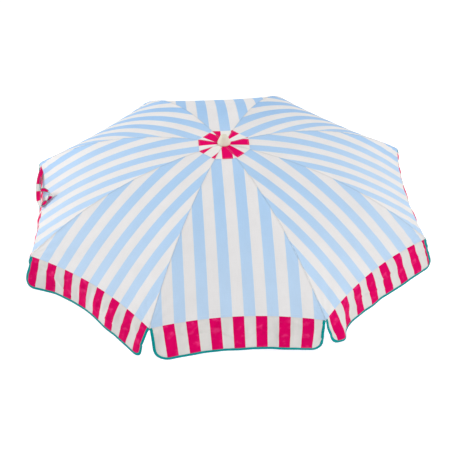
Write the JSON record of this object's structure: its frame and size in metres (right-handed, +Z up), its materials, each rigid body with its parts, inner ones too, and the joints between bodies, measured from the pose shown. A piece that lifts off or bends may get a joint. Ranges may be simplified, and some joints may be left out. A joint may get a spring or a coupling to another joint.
{
  "type": "beach umbrella",
  "caption": "Striped octagonal beach umbrella with scalloped valance, folding ribs and struts on a sliding runner, and a two-part telescoping pole with a ground spike.",
  "frame": {"origin": "on the pole's axis at the middle of the ground ferrule, the length that a stand or the sand holds", "axes": "+Z up the pole to the finial; +X through the middle of one gore, with the ribs at 22.5 degrees to it and every 45 degrees round"},
  "size_m": [1.7248, 1.7248, 1.1521],
  "materials": {
    "canopy_fabric": "matte",
    "valance_fabric": "matte",
    "cap_fabric": "matte",
    "pole_white": "satin",
    "rib_steel": "satin",
    "steel": "satin",
    "white_plastic": "satin",
    "black_plastic": "satin",
    "teal_plastic": "satin",
    "spike_plastic": "satin",
    "finial_cream": "satin"
  },
  "bodies": {
    "lower_pole": {"ground_spike": "spike_plastic", "lower_tube": "pole_white", "guide_plug": "black_plastic"},
    "upper_pole": {"upper_tube": "pole_white", "slide_bush": "white_plastic", "clamp_collar": "white_plastic", "crown_hub": "white_plastic", "crown_pins": "steel", "apex_washer": "white_plastic", "finial": "finial_cream", "finial_screw": "steel", "top_cap": "cap_fabric"},
    "clamp": {"clamp_knob": "white_plastic", "clamp_screw": "steel"},
    "runner": {"runner_sleeve": "white_plastic", "runner_pins": "steel", "latch_spring": "steel"},
    "latch": {"latch_button": "teal_plastic"},
    "rib_1": {"rib_1": "rib_steel", "rib_fittings_1": "steel", "canopy_panel_1": "canopy_fabric", "valance_1": "valance_fabric"},
    "strut_1": {"strut_1": "rib_steel"},
    "rib_2": {"rib_2": "rib_steel", "rib_fittings_2": "steel", "canopy_panel_2": "canopy_fabric", "valance_2": "valance_fabric"},
    "strut_2": {"strut_2": "rib_steel"},
    "rib_3": {"rib_3": "rib_steel", "rib_fittings_3": "steel", "canopy_panel_3": "canopy_fabric", "valance_3": "valance_fabric"},
    "strut_3": {"strut_3": "rib_steel"},
    "rib_4": {"rib_4": "rib_steel", "rib_fittings_4": "steel", "canopy_panel_4": "canopy_fabric", "valance_4": "valance_fabric", "storage_strap": "valance_fabric"},
    "strut_4": {"strut_4": "rib_steel"},
    "rib_5": {"rib_5": "rib_steel", "rib_fittings_5": "steel", "canopy_panel_5": "canopy_fabric", "valance_5": "valance_fabric"},
    "strut_5": {"strut_5": "rib_steel"},
    "rib_6": {"rib_6": "rib_steel", "rib_fittings_6": "steel", "canopy_panel_6": "canopy_fabric", "valance_6": "valance_fabric"},
    "strut_6": {"strut_6": "rib_steel"},
    "rib_7": {"rib_7": "rib_steel", "rib_fittings_7": "steel", "canopy_panel_7": "canopy_fabric", "valance_7": "valance_fabric"},
    "strut_7": {"strut_7": "rib_steel"},
    "rib_8": {"rib_8": "rib_steel", "rib_fittings_8": "steel", "canopy_panel_8": "canopy_fabric", "valance_8": "valance_fabric"},
    "strut_8": {"strut_8": "rib_steel"}
  },
  "joints": [
    {"name": "pole_height", "type": "slide", "parent": "lower_pole", "child": "upper_pole", "axis": [0, 0, 1], "range_m": [0, 0.7]},
    {"name": "clamp_turn", "type": "hinge", "parent": "upper_pole", "child": "clamp", "pos_m": [0.03, 0, 0.042], "axis": [1, 0, 0], "range_deg": [0, 360]},
    {"name": "runner_slide", "type": "slide", "parent": "upper_pole", "child": "runner", "axis": [0, 0, -1], "range_m": [0, 0.55199]},
    {"name": "latch_pull", "type": "slide", "parent": "runner", "child": "latch", "axis": [1, 0, 0], "range_m": [0, 0.0035], "stiffness_N_per_m": 400, "springref_m": -0.005, "deforming": ["latch_spring"]},
    {"name": "rib_fold_1", "type": "hinge", "parent": "upper_pole", "child": "rib_1", "pos_m": [0.02032, 0.00842, 1.02586], "axis": [-0.3827, 0.9239, 0], "range_deg": [0, 62.5], "deforming": ["canopy_panel_1", "valance_1", "top_cap"]},
    {"name": "strut_swing_1", "type": "hinge", "parent": "rib_1", "child": "strut_1", "pos_m": [0.41312, 0.17112, 0.96011], "axis": [0.3827, -0.9239, 0], "range_deg": [0, 103.43]},
    {"name": "rib_fold_2", "type": "hinge", "parent": "upper_pole", "child": "rib_2", "pos_m": [0.00842, 0.02032, 1.02586], "axis": [-0.9239, 0.3827, 0], "range_deg": [0, 62.5], "deforming": ["canopy_panel_2", "valance_2"]},
    {"name": "strut_swing_2", "type": "hinge", "parent": "rib_2", "child": "strut_2", "pos_m": [0.17112, 0.41312, 0.96011], "axis": [0.9239, -0.3827, 0], "range_deg": [0, 103.43]},
    {"name": "rib_fold_3", "type": "hinge", "parent": "upper_pole", "child": "rib_3", "pos_m": [-0.00842, 0.02032, 1.02586], "axis": [-0.9239, -0.3827, 0], "range_deg": [0, 62.5], "deforming": ["canopy_panel_3", "valance_3"]},
    {"name": "strut_swing_3", "type": "hinge", "parent": "rib_3", "child": "strut_3", "pos_m": [-0.17112, 0.41312, 0.96011], "axis": [0.9239, 0.3827, 0], "range_deg": [0, 103.43]},
    {"name": "rib_fold_4", "type": "hinge", "parent": "upper_pole", "child": "rib_4", "pos_m": [-0.02032, 0.00842, 1.02586], "axis": [-0.3827, -0.9239, 0], "range_deg": [0, 62.5], "deforming": ["canopy_panel_4", "valance_4", "storage_strap"]},
    {"name": "strut_swing_4", "type": "hinge", "parent": "rib_4", "child": "strut_4", "pos_m": [-0.41312, 0.17112, 0.96011], "axis": [0.3827, 0.9239, 0], "range_deg": [0, 103.43]},
    {"name": "rib_fold_5", "type": "hinge", "parent": "upper_pole", "child": "rib_5", "pos_m": [-0.02032, -0.00842, 1.02586], "axis": [0.3827, -0.9239, 0], "range_deg": [0, 62.5], "deforming": ["canopy_panel_5", "valance_5"]},
    {"name": "strut_swing_5", "type": "hinge", "parent": "rib_5", "child": "strut_5", "pos_m": [-0.41312, -0.17112, 0.96011], "axis": [-0.3827, 0.9239, 0], "range_deg": [0, 103.43]},
    {"name": "rib_fold_6", "type": "hinge", "parent": "upper_pole", "child": "rib_6", "pos_m": [-0.00842, -0.02032, 1.02586], "axis": [0.9239, -0.3827, 0], "range_deg": [0, 62.5], "deforming": ["canopy_panel_6", "valance_6"]},
    {"name": "strut_swing_6", "type": "hinge", "parent": "rib_6", "child": "strut_6", "pos_m": [-0.17112, -0.41312, 0.96011], "axis": [-0.9239, 0.3827, 0], "range_deg": [0, 103.43]},
    {"name": "rib_fold_7", "type": "hinge", "parent": "upper_pole", "child": "rib_7", "pos_m": [0.00842, -0.02032, 1.02586], "axis": [0.9239, 0.3827, 0], "range_deg": [0, 62.5], "deforming": ["canopy_panel_7", "valance_7"]},
    {"name": "strut_swing_7", "type": "hinge", "parent": "rib_7", "child": "strut_7", "pos_m": [0.17112, -0.41312, 0.96011], "axis": [-0.9239, -0.3827, 0], "range_deg": [0, 103.43]},
    {"name": "rib_fold_8", "type": "hinge", "parent": "upper_pole", "child": "rib_8", "pos_m": [0.02032, -0.00842, 1.02586], "axis": [0.3827, 0.9239, 0], "range_deg": [0, 62.5], "deforming": ["canopy_panel_8", "valance_8"]},
    {"name": "strut_swing_8", "type": "hinge", "parent": "rib_8", "child": "strut_8", "pos_m": [0.41312, -0.17112, 0.96011], "axis": [-0.3827, -0.9239, 0], "range_deg": [0, 103.43]}
  ],
  "couplings": [
    {"joint": "rib_fold_1", "follows": "runner_slide", "rad_per_m": 1.9604},
    {"joint": "strut_swing_1", "follows": "runner_slide", "rad_per_m": 3.2545},
    {"joint": "rib_fold_2", "follows": "runner_slide", "rad_per_m": 1.9604},
    {"joint": "strut_swing_2", "follows": "runner_slide", "rad_per_m": 3.2545},
    {"joint": "rib_fold_3", "follows": "runner_slide", "rad_per_m": 1.9604},
    {"joint": "strut_swing_3", "follows": "runner_slide", "rad_per_m": 3.2545},
    {"joint": "rib_fold_4", "follows": "runner_slide", "rad_per_m": 1.9604},
    {"joint": "strut_swing_4", "follows": "runner_slide", "rad_per_m": 3.2545},
    {"joint": "rib_fold_5", "follows": "runner_slide", "rad_per_m": 1.9604},
    {"joint": "strut_swing_5", "follows": "runner_slide", "rad_per_m": 3.2545},
    {"joint": "rib_fold_6", "follows": "runner_slide", "rad_per_m": 1.9604},
    {"joint": "strut_swing_6", "follows": "runner_slide", "rad_per_m": 3.2545},
    {"joint": "rib_fold_7", "follows": "runner_slide", "rad_per_m": 1.9604},
    {"joint": "strut_swing_7", "follows": "runner_slide", "rad_per_m": 3.2545},
    {"joint": "rib_fold_8", "follows": "runner_slide", "rad_per_m": 1.9604},
    {"joint": "strut_swing_8", "follows": "runner_slide", "rad_per_m": 3.2545}
  ]
}
